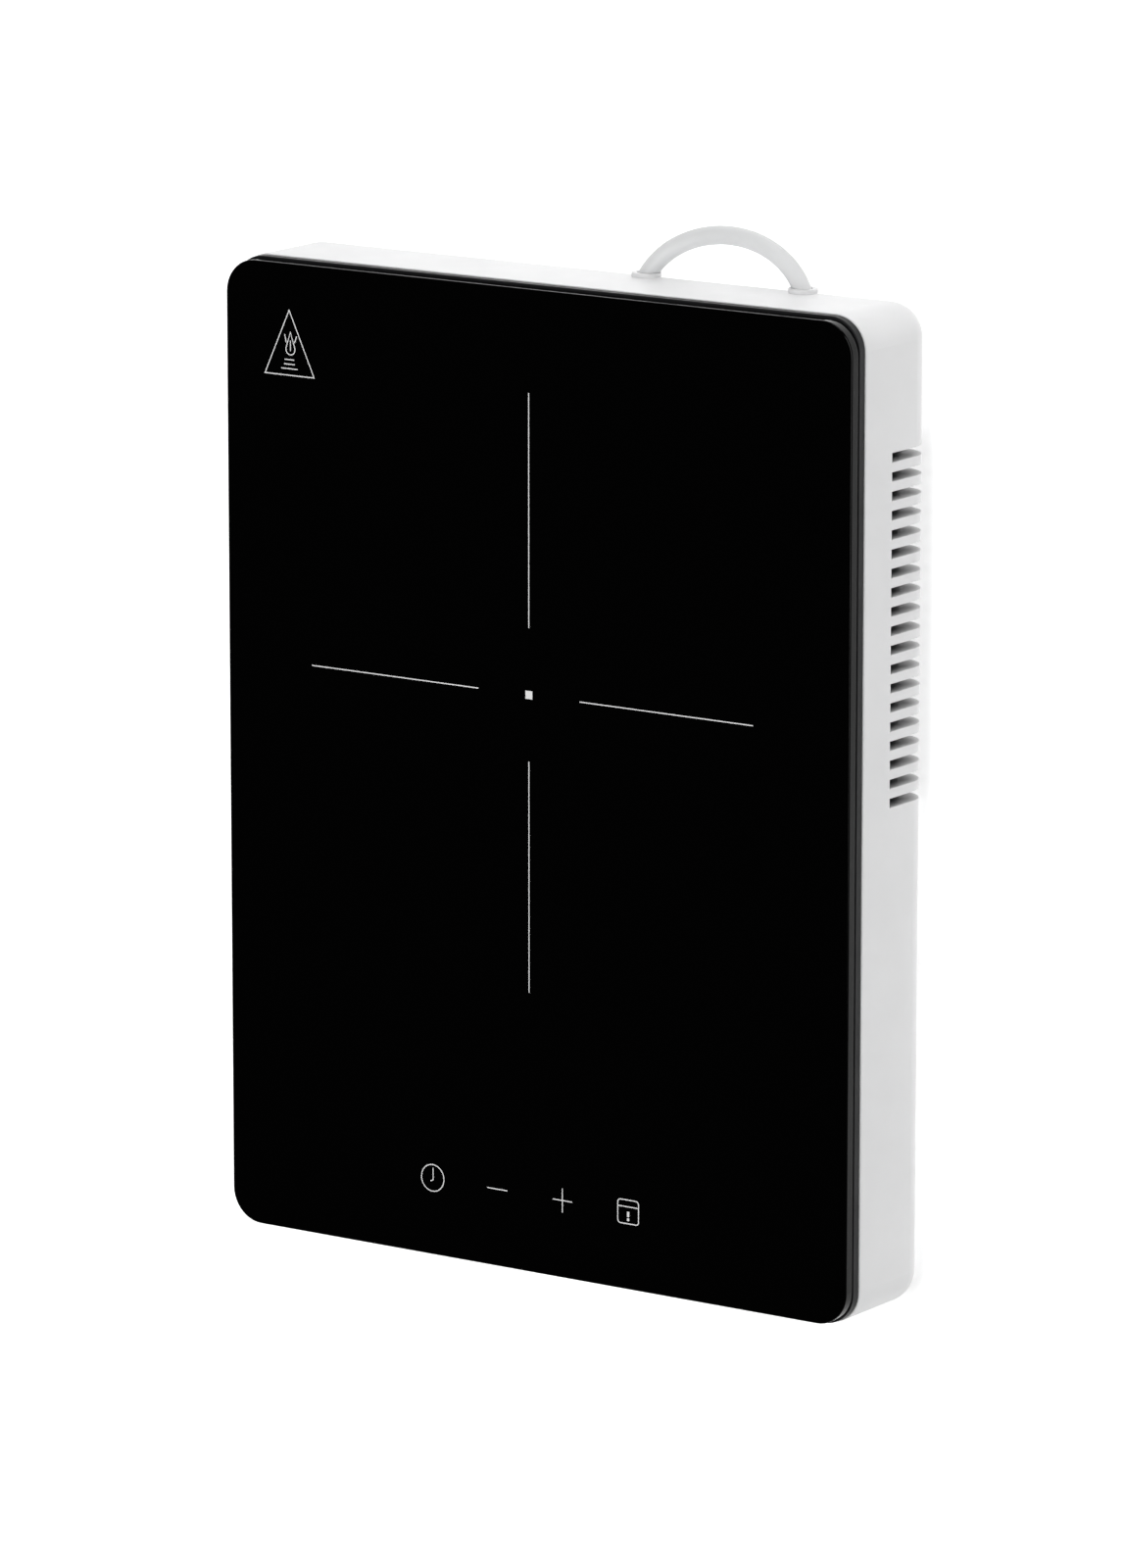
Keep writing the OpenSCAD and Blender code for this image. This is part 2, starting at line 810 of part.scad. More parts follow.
module thermistor() {
    color([0.85, 0.55, 0.2]) placed() translate([zone.x, zone.y, 0]) {
        translate([0, 0, bead_top - 4]) cylinder(r = 1.6, h = 4);
        for (side = [-1, 1]) translate([side * 0.8, 0, former_z - 4])
            cylinder(r = 0.4, h = bead_top - former_z);
    }
}

// ---------------------------------------------------------------- fan

module at_fan() {
    placed() translate([fan_at.x, fan_at.y, fan_z]) children();
}

// Square frame with the motor's base and bearing tube held by four arms
module fan_frame() {
    arm_h = 1.6;
    tube_r = 4;
    tube_top = fan_h - 3.5;
    color([0.13, 0.13, 0.14]) at_fan() difference() {
        union() {
            difference() {
                linear_extrude(fan_h) round_rect(fan_size, fan_size, 4);
                translate([0, 0, -1]) cylinder(r = fan_bore_r, h = fan_h + 2);
            }
            cylinder(r = hub_r, h = arm_h);
            cylinder(r = tube_r, h = tube_top);
            for (turn = [0, 90]) rotate(45 + turn) translate([0, 0, arm_h / 2])
                cube([2 * fan_bore_r + 2, 3, arm_h], center = true);
        }
        translate([0, 0, -1]) cylinder(r = shaft_r + bearing_gap, h = fan_h);
        at(fan_corners()) translate([0, 0, -1]) cylinder(r = 1.7, h = fan_h + 2);
    }
}

// Four wound poles round the bearing tube
module fan_stator() {
    color(COPPER) at_fan() difference() {
        union() {
            translate([0, 0, 3]) cylinder(r = 6.5, h = 7);
            for (i = [0:3]) rotate(90 * i) {
                translate([3.5, -2, 3.5]) cube([6, 4, 6]);
                intersection() {
                    translate([9, -7, 3]) cube([4, 14, 7]);
                    translate([0, 0, 3]) cylinder(r = 12, h = 7);
                }
            }
        }
        translate([0, 0, 2]) cylinder(r = 4.05, h = 9);
    }
}

// Cup, shaft and blades in one moulding
module fan_rotor() {
    cup_low = 3.5;
    cup_top = fan_h - 1;
    cup_roof = 1.5;
    blade_r = fan_bore_r - 1.2;
    color([0.16, 0.16, 0.17]) at_fan() {
        difference() {
            translate([0, 0, cup_low]) cylinder(r = hub_r, h = cup_top - cup_low);
            translate([0, 0, cup_low - 1])
                cylinder(r = hub_r - 2, h = cup_top - cup_low - cup_roof + 1);
        }
        translate([0, 0, 2]) cylinder(r = shaft_r, h = cup_top - 2.5);
        intersection() {
            ring(blade_r, hub_r - 1, cup_low, cup_top - cup_low);
            for (i = [0:fan_blades - 1]) rotate(i * 360 / fan_blades)
                translate([(hub_r + blade_r) / 2, 0, (cup_low + cup_top) / 2])
                    rotate([38, 0, 0]) cube([blade_r - hub_r + 4, 16, 1.4], center = true);
        }
    }
}

module rotor_magnet() {
    color([0.3, 0.28, 0.27]) at_fan() ring(hub_r - 2, hub_r - 3.6, 4, 7.5);
}

module fan_screws() {
    color(STEEL) at_fan() at(fan_corners()) screw_down(fan_h, 17, pilot_r, 3, 1.8);
}

// Hood that turns the fan's air forward, over the heat sink
module air_duct() {
    t = 1.5;
    low_x = fan_at.x - fan_size / 2 - 1;
    high_x = fan_at.x + fan_size / 2 + 1;
    rear = fan_at.y + fan_size / 2 + 1;
    front = -8;
    top = 38;
    seat = fan_z + fan_h;
    color([0.2, 0.2, 0.21]) placed() difference() {
        box([low_x, front, floor_z], [high_x, rear, top]);
        box([low_x + t, front - 1, floor_z - 1], [high_x - t, rear - t, top - t]);
        box([low_x - 1, fan_at.y - fan_size / 2 - 0.5, floor_z - 1], [high_x + 1, rear + 1, seat]);
    }
}

// ---------------------------------------------------------------- power board

// Board and its parts are placed by their centre on the board's upper face.
module on_board(x, y) {
    placed() translate([x, y, board_top]) children();
}

module block(w, l, h) {
    translate([-w / 2, -l / 2, 0]) cube([w, l, h]);
}

module power_board() {
    color(BOARD) placed() difference() {
        translate([board_at.x, board_at.y, board_z]) linear_extrude(board_h)
            round_rect(board_size.x, board_size.y, 2);
        at(board_holes) translate([0, 0, board_z - 1]) cylinder(r = 1.7, h = board_h + 2);
    }
}

module board_screws() {
    color(STEEL) placed() at(board_holes) screw_down(board_top, 7, pilot_r, 3, 1.8);
}

sink_x = -30;
sink_y = -62;
sink_l = 80;
sink_h = 24;
sink_base = 5;
device_y = sink_y - 2.4;
transistor_x = sink_x - 18;
rectifier_x = sink_x + 18;
device_screw_z = 17;

// Extruded comb: an upright slab with fins behind it
module heatsink() {
    fins = 6;
    fin_t = 1.5;
    fin_l = 28;
    step = (sink_h - fin_t) / (fins - 1);
    color([0.78, 0.79, 0.8]) on_board(sink_x, sink_y) difference() {
        union() {
            translate([-sink_l / 2, 0, 0]) cube([sink_l, sink_base, sink_h]);
            for (i = [0:fins - 1]) translate([-sink_l / 2, 0, i * step])
                cube([sink_l, sink_base + fin_l, fin_t]);
        }
        for (x = [transistor_x, rectifier_x])
            translate([x - sink_x, -1, device_screw_z]) rotate([-90, 0, 0])
                cylinder(r = 1.5, h = sink_base + 0.5);
    }
}

// Flat package that stands on three legs against the heat sink
module package(w, t, h, legs, leg_pitch) {
    leg_h = 4;
    difference() {
        translate([0, 0, leg_h]) block(w, t, h);
        translate([0, -t, device_screw_z]) rotate([-90, 0, 0]) cylinder(r = 1.6, h = 2 * t);
    }
    for (i = [0:legs - 1])
        translate([(i - (legs - 1) / 2) * leg_pitch, 0, 0]) block(1.2, 0.7, leg_h + eps);
}

module power_transistor() {
    color(BLACK) on_board(transistor_x, device_y) package(15.8, 4.8, 19.5, 3, 5.4);
}

module bridge_rectifier() {
    color([0.1, 0.1, 0.1]) on_board(rectifier_x, device_y) package(24, 4.8, 18, 4, 6);
}

module device_screws() {
    color(STEEL) for (x = [transistor_x, rectifier_x])
        on_board(x, sink_y - 4.8) translate([0, 0, device_screw_z]) rotate([-90, 0, 0])
            screw_up(0, 8, pilot_r, 3, 1.8);
}

module resonant_capacitor() {
    color([0.85, 0.75, 0.3]) on_board(50, -104) block(42, 20, 30);
}

module bus_capacitor() {
    color([0.85, 0.75, 0.3]) on_board(50, -80) block(32, 15, 25);
}

module filter_capacitor() {
    color([0.9, 0.78, 0.25]) on_board(-58, -122) block(26, 12, 20);
}

// Ring core with two windings
module filter_choke() {
    color([0.2, 0.32, 0.24]) on_board(-58, -94) {
        ring(13, 6, 1, 12);
        for (side = [0, 180]) rotate(side + 35) rotate_extrude(angle = 110)
            translate([5, 0]) square([9, 14]);
    }
}

module supply_transformer() {
    color([0.75, 0.68, 0.4]) on_board(-22, -115) {
        block(20, 17, 3);
        translate([0, 0, 3]) block(12, 17, 10);
        translate([0, 0, 3]) difference() {
            block(20, 8, 12);
            translate([0, 0, 4]) block(20.2, 8.2, 5);
        }
    }
}

// Cartridge fuse in two clips
module mains_fuse() {
    color([0.85, 0.87, 0.88]) on_board(-25, -93) {
        translate([-10, 0, 5]) rotate([0, 90, 0]) cylinder(r = 2.6, h = 20);
        for (side = [-1, 1]) translate([side * 8, 0, 0]) block(3, 7, 5);
    }
}

module varistor() {
    color([0.15, 0.3, 0.6]) on_board(0, -93) {
        translate([0, 2, 9]) rotate([90, 0, 0]) cylinder(r = 7, h = 4);
        for (side = [-1, 1]) translate([side * 3.7, 0, 0]) block(0.8, 0.8, 4);
    }
}

module round_capacitors() {
    color([0.15, 0.18, 0.3]) for (x = [2, 15]) on_board(x, -116) cylinder(r = 5, h = 18);
}

module terminal_block() {
    color([0.35, 0.6, 0.4]) on_board(-76, -70) difference() {
        block(10, 18, 11);
        for (side = [-1, 1]) translate([-6, side * 4.5, 5]) rotate([0, 90, 0])
            cylinder(r = 1.6, h = 7);
    }
}

ribbon_x = 30;
ribbon_w = 12;

// Sockets for the ribbon: one on the power board, one under the control board
module ribbon_sockets() {
    color([0.93, 0.92, 0.88]) {
        on_board(ribbon_x, -127.5) block(ribbon_w + 4, 6, 6);
        placed() translate([ribbon_x, -136, control_z - 2.4]) block(ribbon_w + 4, 6, 2.4);
    }
}

// ---------------------------------------------------------------- controls

module control_carrier() {
    w = control_size.x + 6;
    l = 44;
    post = [for (q = quadrants) [q.x * 53, control_at.y + q.y * 12]];
    color([0.9, 0.9, 0.88]) placed() difference() {
        union() {
            translate([0, -body_l / 2 + 30.5, 0]) plate(w, l, 3, carrier_z, carrier_h);
            at(post) translate([0, 0, carrier_z]) cylinder(r = 2.5, h = control_z - carrier_z);
        }
        translate([ribbon_x, -134, carrier_z - 1]) block(ribbon_w + 8, 14, carrier_h + 2);
        at(carrier_holes) translate([0, 0, carrier_z - 1]) cylinder(r = 1.4, h = carrier_h + 2);
    }
}

module carrier_screws() {
    color(STEEL) placed() at(carrier_holes) screw_up(carrier_z, 8, carrier_screw_r, 2.5, 1.6);
}

module control_board() {
    color(BOARD) placed() difference() {
        translate([control_at.x, control_at.y, control_z]) linear_extrude(board_h)
            round_rect(control_size.x, control_size.y, 2);
        at(carrier_holes) translate([0, 0, control_z - 1]) cylinder(r = 4.3, h = board_h + 2);
    }
}

// Springs that carry each key's field up to the glass
module touch_springs() {
    color(STEEL) placed() at(keys) spring(3.6, 0.35, control_top, glass_z, 5);
}

module led_display() {
    color([0.2, 0.05, 0.05]) placed() translate([0, -138, control_top]) block(38, 12, 7);
}

module microcontroller() {
    color(BLACK) placed() translate([-52, -138, control_top]) block(10, 10, 1.6);
}

module buzzer() {
    color(BLACK) placed() translate([55, -139, control_top]) difference() {
        cylinder(r = 6, h = 7);
        translate([0, 0, 4]) cylinder(r = 1.2, h = 4);
    }
}

// ---------------------------------------------------------------- wiring

module lead(points, r) {
    color([0.8, 0.8, 0.82]) placed() tube(lead_path(points, 5), r, 8, [0.05, 0.1, 1]);
}

// From the rim of the winding to the power board
coil_lead_route = [
    [58, -38.5, 48.6], [61.5, -44.6, 47.6], [65, -51.5, 40], [66, -54, 26], [66, -56, 18],
    [66, -56, 13.7]
];

module coil_leads() {
    side = [9, 5.2, 0];
    lead(coil_lead_route, 1.6);
    lead([for (p = coil_lead_route) p + side], 1.6);
}

// From the cord clamp along the left wall to the terminal block
mains_lead_route = [
    [-115.8, inlet_y, 25.5], [-114.6, inlet_y - 1.4, 26], [-114.8, inlet_y - 8, 26.5],
    [-117.5, 130, 26], [-117.5, 100, 25], [-117, 20, 22], [-116.5, -4, 21],
    [-111.5, -30, 20], [-108, -62, 20], [-100, -66, 19], [-81.2, -65.5, 18.6]
];

module mains_leads() {
    lead(mains_lead_route, 1.3);
    lead([for (p = mains_lead_route) p + [0, -0.4, -3.4]], 1.3);
}

module ribbon_cable() {
    t = 0.9;
    low = board_top + 6;
    high = control_z - 2.4;
    color([0.6, 0.6, 0.62]) placed() translate([ribbon_x - ribbon_w / 2, 0, 0])
        rotate([90, 0, 90]) linear_extrude(ribbon_w) polygon([
            [-127.5, low], [-127.5 + t, low], [-127.5 + t, low + 4],
            [-136 + t, high - 4], [-136 + t, high], [-136, high],
            [-136, high - 4 - t / 2], [-127.5, low + 4 - t / 2]
        ]);
}

glass_plate();
zone_print();
key_print();
glass_gasket();
glass_frame();
housing();
rubber_feet();
housing_screws();
hanging_loop();
loop_collars();
cord_grommet();
cord_clamp();
cord_clamp_screws();
coil_former();
coil_winding();
ferrite_bars();
insulation_sheet();
coil_springs();
coil_screws();
sensor_cap();
thermistor();
fan_frame();
fan_stator();
fan_rotor();
rotor_magnet();
fan_screws();
air_duct();
power_board();
board_screws();
heatsink();
power_transistor();
bridge_rectifier();
device_screws();
resonant_capacitor();
bus_capacitor();
filter_capacitor();
filter_choke();
supply_transformer();
mains_fuse();
varistor();
round_capacitors();
terminal_block();
ribbon_sockets();
control_carrier();
carrier_screws();
control_board();
touch_springs();
led_display();
microcontroller();
buzzer();
coil_leads();
mains_leads();
ribbon_cable();
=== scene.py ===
"""Looks of the portable induction cooktop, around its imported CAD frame.

The cooktop lies flat with the glass up (+Z), keys at -Y, hanging loop at +Y. Lengths are in metres.
"""
import json
import math

import bmesh
import bpy
from mathutils import Matrix, Vector


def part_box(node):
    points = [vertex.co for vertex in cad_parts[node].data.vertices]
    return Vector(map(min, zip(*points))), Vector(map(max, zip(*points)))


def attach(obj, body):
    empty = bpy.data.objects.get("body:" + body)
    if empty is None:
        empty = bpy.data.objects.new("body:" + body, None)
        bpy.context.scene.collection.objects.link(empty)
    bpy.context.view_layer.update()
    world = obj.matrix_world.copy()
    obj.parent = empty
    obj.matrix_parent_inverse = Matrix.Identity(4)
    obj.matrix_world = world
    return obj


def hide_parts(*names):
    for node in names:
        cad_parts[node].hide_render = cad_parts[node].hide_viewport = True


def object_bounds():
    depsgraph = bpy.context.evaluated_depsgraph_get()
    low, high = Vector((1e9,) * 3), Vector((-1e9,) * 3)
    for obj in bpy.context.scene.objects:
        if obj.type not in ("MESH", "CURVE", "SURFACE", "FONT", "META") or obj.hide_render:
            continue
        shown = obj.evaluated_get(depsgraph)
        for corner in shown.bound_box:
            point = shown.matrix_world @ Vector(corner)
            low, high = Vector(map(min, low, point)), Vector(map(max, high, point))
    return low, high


MM = 0.001

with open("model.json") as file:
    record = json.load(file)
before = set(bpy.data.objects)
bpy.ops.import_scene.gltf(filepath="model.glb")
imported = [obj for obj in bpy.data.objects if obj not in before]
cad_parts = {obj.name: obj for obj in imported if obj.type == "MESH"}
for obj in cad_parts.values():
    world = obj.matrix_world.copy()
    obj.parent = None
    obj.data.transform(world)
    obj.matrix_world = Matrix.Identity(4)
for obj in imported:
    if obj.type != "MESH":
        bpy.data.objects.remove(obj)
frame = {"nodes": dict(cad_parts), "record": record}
cad_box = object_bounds()

glass_low, glass_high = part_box("glass_plate")
housing_low, housing_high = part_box("housing")
# Middle of the footprint on the housing's underside: the camera is placed from here.
body_centre = Vector((
    (glass_low.x + glass_high.x) / 2,
    (glass_low.y + glass_high.y) / 2,
    housing_low.z,
))


# ---------------------------------------------------------------- camera

CAMERA_OFFSET = Vector((1.7867, 0.6711, 2.6349))
CAMERA_TURN = math.radians(34.5)
CAMERA_TIP = math.radians(-12.05)
FOCAL_LENGTH = 205.5
SENSOR = 36.0


def make_camera():
    """Long lens, high on the right of the cooktop, with the loop end at the top of the picture."""
    data = bpy.data.cameras.new("camera")
    data.lens = FOCAL_LENGTH
    data.sensor_width = SENSOR
    data.sensor_height = SENSOR
    data.clip_end = 60.0
    camera = bpy.data.objects.new("camera", data)
    bpy.context.scene.collection.objects.link(camera)
    turn = Matrix.Rotation(CAMERA_TURN, 4, "Y") @ Matrix.Rotation(CAMERA_TIP, 4, "X")
    camera.matrix_world = Matrix.Translation(body_centre + CAMERA_OFFSET) @ turn
    bpy.context.scene.camera = camera


# ---------------------------------------------------------------- light and floor

# The world is bright at the horizon and dim overhead. Heights are the Z of the direction looked in.
HORIZON_LIGHT = 0.3
SKY_LIGHT = 0.006
FADE_FROM = 0.05
FADE_TO = 0.5

FLOOR_SIZE = 60.0
FLOOR_GLOW = 0.5


def make_world():
    """A pale band round the horizon that fades to a dim sky, so that the black glass stays black."""
    world = bpy.data.worlds.new("studio")
    bpy.context.scene.world = world
    world.use_nodes = True
    nodes, links = world.node_tree.nodes, world.node_tree.links
    nodes.clear()
    coordinates = nodes.new("ShaderNodeTexCoord")
    split = nodes.new("ShaderNodeSeparateXYZ")
    fade = nodes.new("ShaderNodeMapRange")
    fade.inputs["From Min"].default_value = FADE_FROM
    fade.inputs["From Max"].default_value = FADE_TO
    fade.inputs["To Min"].default_value = HORIZON_LIGHT
    fade.inputs["To Max"].default_value = SKY_LIGHT
    fade.interpolation_type = "SMOOTHSTEP"
    background = nodes.new("ShaderNodeBackground")
    output = nodes.new("ShaderNodeOutputWorld")
    links.new(coordinates.outputs["Generated"], split.inputs[0])
    links.new(split.outputs["Z"], fade.inputs["Value"])
    links.new(fade.outputs["Result"], background.inputs["Color"])
    links.new(background.outputs[0], output.inputs[0])


def area_light(name, place, size, power):
    """Square soft box at a place beside the cooktop's middle, turned to it."""
    data = bpy.data.lights.new(name, "AREA")
    data.shape = "SQUARE"
    data.size = size
    data.energy = power
    light = bpy.data.objects.new(name, data)
    bpy.context.scene.collection.objects.link(light)
    light.location = body_centre + Vector(place)
    aim = body_centre - light.location
    light.rotation_euler = aim.to_track_quat("-Z", "Y").to_euler()


def make_lights():
    area_light("overhead", (0.25, 0.15, 2.4), 1.2, 39.0)
    area_light("rear", (0.3, 2.6, 1.3), 1.4, 25.0)
    area_light("right", (2.3, -0.3, 1.2), 1.4, 1.0)
    area_light("front", (-0.8, -2.2, 1.6), 1.4, 7.0)


def make_floor():
    mesh = bpy.data.meshes.new("floor")
    half = FLOOR_SIZE / 2
    corners = [(-half, -half, 0), (half, -half, 0), (half, half, 0), (-half, half, 0)]
    mesh.from_pydata([Vector(c) for c in corners], [], [(0, 1, 2, 3)])
    floor = bpy.data.objects.new("floor", mesh)
    bpy.context.scene.collection.objects.link(floor)
    floor.location.z = cad_box[0].z
    floor.data.materials.append(floor_material())


# ---------------------------------------------------------------- material blocks

class Shader:
    """A new material with one Principled shader, and short calls that build its node tree."""

    def __init__(self, name, colour, roughness, metallic=0.0, specular=0.5):
        self.material = bpy.data.materials.new(name)
        self.material.use_nodes = True
        tree = self.material.node_tree
        self.nodes, self.links = tree.nodes, tree.links
        self.shader = self.nodes["Principled BSDF"]
        self.set("Base Color", (*colour, 1.0))
        self.set("Roughness", roughness)
        self.set("Metallic", metallic)
        self.set("Specular IOR Level", specular)
        self.set("IOR", 1.5)
        coordinates = self.nodes.new("ShaderNodeTexCoord")
        self.place = coordinates.outputs["Object"]
        self.normal = None

    def set(self, socket, value):
        self.shader.inputs[socket].default_value = value

    def stretched(self, scale):
        """Object coordinates with each axis multiplied, for grain that runs one way."""
        mapping = self.nodes.new("ShaderNodeMapping")
        mapping.inputs["Scale"].default_value = scale
        self.links.new(self.place, mapping.inputs["Vector"])
        return mapping.outputs["Vector"]

    def noise(self, size, detail=2.0, roughness=0.5, vector=None):
        """Noise whose blobs are about size metres across."""
        node = self.nodes.new("ShaderNodeTexNoise")
        node.inputs["Scale"].default_value = 1.0 / size
        node.inputs["Detail"].default_value = detail
        node.inputs["Roughness"].default_value = roughness
        self.links.new(vector or self.place, node.inputs["Vector"])
        return node.outputs["Fac"]

    def cells(self, size):
        """Distance from the middles of cells about size metres across."""
        node = self.nodes.new("ShaderNodeTexVoronoi")
        node.inputs["Scale"].default_value = 1.0 / size
        self.links.new(self.place, node.inputs["Vector"])
        return node.outputs["Distance"]

    def bands(self, size, direction, distortion):
        """Waves about size metres apart along one direction, bent by the distortion."""
        node = self.nodes.new("ShaderNodeTexWave")
        node.bands_direction = direction
        node.inputs["Scale"].default_value = 1.0 / size
        node.inputs["Distortion"].default_value = distortion
        self.links.new(self.place, node.inputs["Vector"])
        return node.outputs["Fac"]

    def depth(self, low, high, radius):
        """Distance below the surface of a box with round edges, as far down as the radius."""
        centre = (low + high) / 2
        core = (high - low) / 2 - Vector((radius, radius, radius))
        vector = self.place
        for operation, operand in (
            ("SUBTRACT", centre),
            ("ABSOLUTE", None),
            ("SUBTRACT", core),
            ("MAXIMUM", (0, 0, 0)),
        ):
            node = self.nodes.new("ShaderNodeVectorMath")
            node.operation = operation
            self.links.new(vector, node.inputs[0])
            if operand is not None:
                node.inputs[1].default_value = operand
            vector = node.outputs["Vector"]
        from_core = self.nodes.new("ShaderNodeVectorMath")
        from_core.operation = "LENGTH"
        self.links.new(vector, from_core.inputs[0])
        return self.remap(from_core.outputs["Value"], 0, radius, radius, 0)

    def total(self, first, second):
        """The sum of two values: adding is what a new Math node does."""
        node = self.nodes.new("ShaderNodeMath")
        self.links.new(first, node.inputs[0])
        self.links.new(second, node.inputs[1])
        return node.outputs[0]

    def remap(self, value, low, high, from_low=0.3, from_high=0.7):
        node = self.nodes.new("ShaderNodeMapRange")
        node.inputs["From Min"].default_value = from_low
        node.inputs["From Max"].default_value = from_high
        node.inputs["To Min"].default_value = low
        node.inputs["To Max"].default_value = high
        self.links.new(value, node.inputs["Value"])
        return node.outputs["Result"]

    def colours(self, value, dark, light, from_low=0.3, from_high=0.7):
        """Colour that runs from dark to light as value goes from from_low to from_high."""
        ramp = self.nodes.new("ShaderNodeValToRGB")
        ramp.color_ramp.elements[0].position = from_low
        ramp.color_ramp.elements[1].position = from_high
        ramp.color_ramp.elements[0].color = (*dark, 1.0)
        ramp.color_ramp.elements[1].color = (*light, 1.0)
        self.links.new(value, ramp.inputs["Fac"])
        self.links.new(ramp.outputs["Color"], self.shader.inputs["Base Color"])

    def gloss(self, value, low, high):
        self.links.new(self.remap(value, low, high), self.shader.inputs["Roughness"])

    def bump(self, value, height):
        """Relief of the given height in metres. Later reliefs lie on top of earlier ones."""
        node = self.nodes.new("ShaderNodeBump")
        node.inputs["Strength"].default_value = 1.0
        node.inputs["Distance"].default_value = height
        self.links.new(value, node.inputs["Height"])
        if self.normal is not None:
            self.links.new(self.normal, node.inputs["Normal"])
        self.normal = node.outputs["Normal"]
        self.links.new(self.normal, self.shader.inputs["Normal"])

    def soft_edges(self, radius):
        """Catches light along sharp edges, as a moulded or turned edge does."""
        node = self.nodes.new("ShaderNodeBevel")
        node.samples = 6
        node.inputs["Radius"].default_value = radius
        self.normal = node.outputs["Normal"]
        self.links.new(self.normal, self.shader.inputs["Normal"])


def shade(colour, factor):
    """The colour multiplied, with each channel kept below full."""
    return tuple(min(1.0, c * factor) for c in colour)


def moulded(name, colour, roughness, grain=0.35 * MM, relief=0.006 * MM, specular=0.5):
    """Moulded plastic or rubber: fine spark-eroded grain, slight unevenness of tone and gloss."""
    s = Shader(name, colour, roughness, specular=specular)
    s.soft_edges(0.3 * MM)
    s.colours(s.noise(30 * MM, 3.0), shade(colour, 0.965), shade(colour, 1.015))
    s.gloss(s.noise(9 * MM, 4.0), roughness - 0.05, roughness + 0.06)
    s.bump(s.noise(grain, 3.0, 0.6), relief)
    return s


def metal(name, colour, roughness, direction):
    """Drawn or ground metal, with fine lines along one direction."""
    s = Shader(name, colour, roughness, metallic=1.0)
    s.soft_edges(0.15 * MM)
    scale = tuple(0.04 if axis == direction else 1.0 for axis in "XYZ")
    lines = s.noise(0.25 * MM, 4.0, 0.6, s.stretched(scale))
    s.colours(lines, shade(colour, 0.9), shade(colour, 1.05))
    s.gloss(s.noise(6 * MM, 3.0), roughness - 0.06, roughness + 0.1)
    s.bump(lines, 0.003 * MM)
    return s


# ---------------------------------------------------------------- materials of the outside

# Radius of the housing's bottom edge, and nearly that of its upright corners
HOUSING_EDGE = 12 * MM
WHITE = (0.81, 0.81, 0.815)
# Dark grey painted deep inside the slots as shade.
PAINTED_SLOT_SHADE_GREY = (0.07, 0.07, 0.072)
# Painted shade in the slots: the plastic is white above the first depth and fully dark grey below the
# second.
SHADE_FROM_DEPTH = 0.2 * MM
SHADE_FULL_DEPTH = 6 * MM


def black_glass():
    """Polished ceramic glass, black through, with the faint haze that wiping leaves."""
    s = Shader("black_glass", (0.0008, 0.0008, 0.0008), 0.06, specular=0.12)
    s.colours(s.noise(0.5 * MM, 2.0), (0.0006, 0.0006, 0.0006), (0.0010, 0.0010, 0.0010))
    s.gloss(s.noise(60 * MM, 5.0, 0.6), 0.035, 0.1)
    s.bump(s.noise(25 * MM, 1.0), 0.01 * MM)
    return s


def white_plastic():
    """White moulding with painted shade: its colour turns dark grey with depth inside the slots that
    cut through it.
    """
    s = Shader("white_plastic", WHITE, 0.4)
    s.soft_edges(0.3 * MM)
    # The box goes on above the housing, whose upper edge isn't round.
    top = housing_high + Vector((0, 0, 2 * HOUSING_EDGE))
    # Painted shade: faces lying deeper inside the housing's outline get a darker colour, down to dark
    # grey.
    depth = s.depth(housing_low, top, HOUSING_EDGE)
    painted_slot_shade = s.remap(depth, 0.0, 1.0, SHADE_FROM_DEPTH, SHADE_FULL_DEPTH)
    uneven = s.remap(s.noise(30 * MM, 3.0), 0.0, 0.04)
    s.colours(s.total(painted_slot_shade, uneven), WHITE, PAINTED_SLOT_SHADE_GREY, 0.0, 1.0)
    s.gloss(s.noise(9 * MM, 4.0), 0.35, 0.46)
    s.bump(s.noise(0.35 * MM, 3.0, 0.6), 0.006 * MM)
    return s


def white_enamel():
    """Fired print: opaque white with a grainy, slightly raised surface."""
    colour = (0.88, 0.88, 0.88)
    s = Shader("white_enamel", colour, 0.45)
    s.colours(s.noise(0.4 * MM, 3.0), shade(colour, 0.9), shade(colour, 1.05))
    s.gloss(s.noise(0.8 * MM), 0.35, 0.55)
    s.bump(s.noise(0.15 * MM, 3.0), 0.004 * MM)
    return s


def floor_material():
    """Pale sweep that glows a little, as a lit cutting table does, so that shadows stay faint."""
    s = Shader("floor", (0.93, 0.93, 0.93), 0.8, specular=0.1)
    s.colours(s.noise(400 * MM, 2.0), (0.925, 0.925, 0.925), (0.935, 0.935, 0.935))
    s.set("Emission Color", (1.0, 1.0, 1.0, 1.0))
    s.set("Emission Strength", FLOOR_GLOW)
    return s.material


# ---------------------------------------------------------------- materials of the inside

def wound_copper():
    """Enamelled strands twisted into one thick wire."""
    colour = (0.62, 0.25, 0.09)
    s = Shader("copper", colour, 0.35, metallic=0.85)
    s.soft_edges(0.2 * MM)
    s.colours(s.noise(1.2 * MM, 4.0), shade(colour, 0.7), shade(colour, 1.2))
    s.bump(s.cells(0.6 * MM), 0.08 * MM)
    return s


def sintered(name, colour):
    """Pressed and fired powder, dull and grainy."""
    s = Shader(name, colour, 0.65)
    s.soft_edges(0.3 * MM)
    s.colours(s.noise(0.8 * MM, 5.0), shade(colour, 0.7), shade(colour, 1.35))
    s.bump(s.noise(0.3 * MM, 4.0), 0.02 * MM)
    return s


def mica_sheet():
    """Pressed flakes with a pearly shine."""
    colour = (0.62, 0.54, 0.38)
    s = Shader("mica", colour, 0.4)
    s.colours(s.cells(2.5 * MM), shade(colour, 0.8), shade(colour, 1.15), 0.0, 0.6)
    s.gloss(s.cells(2.5 * MM), 0.25, 0.5)
    s.bump(s.noise(1.5 * MM, 4.0), 0.02 * MM)
    return s


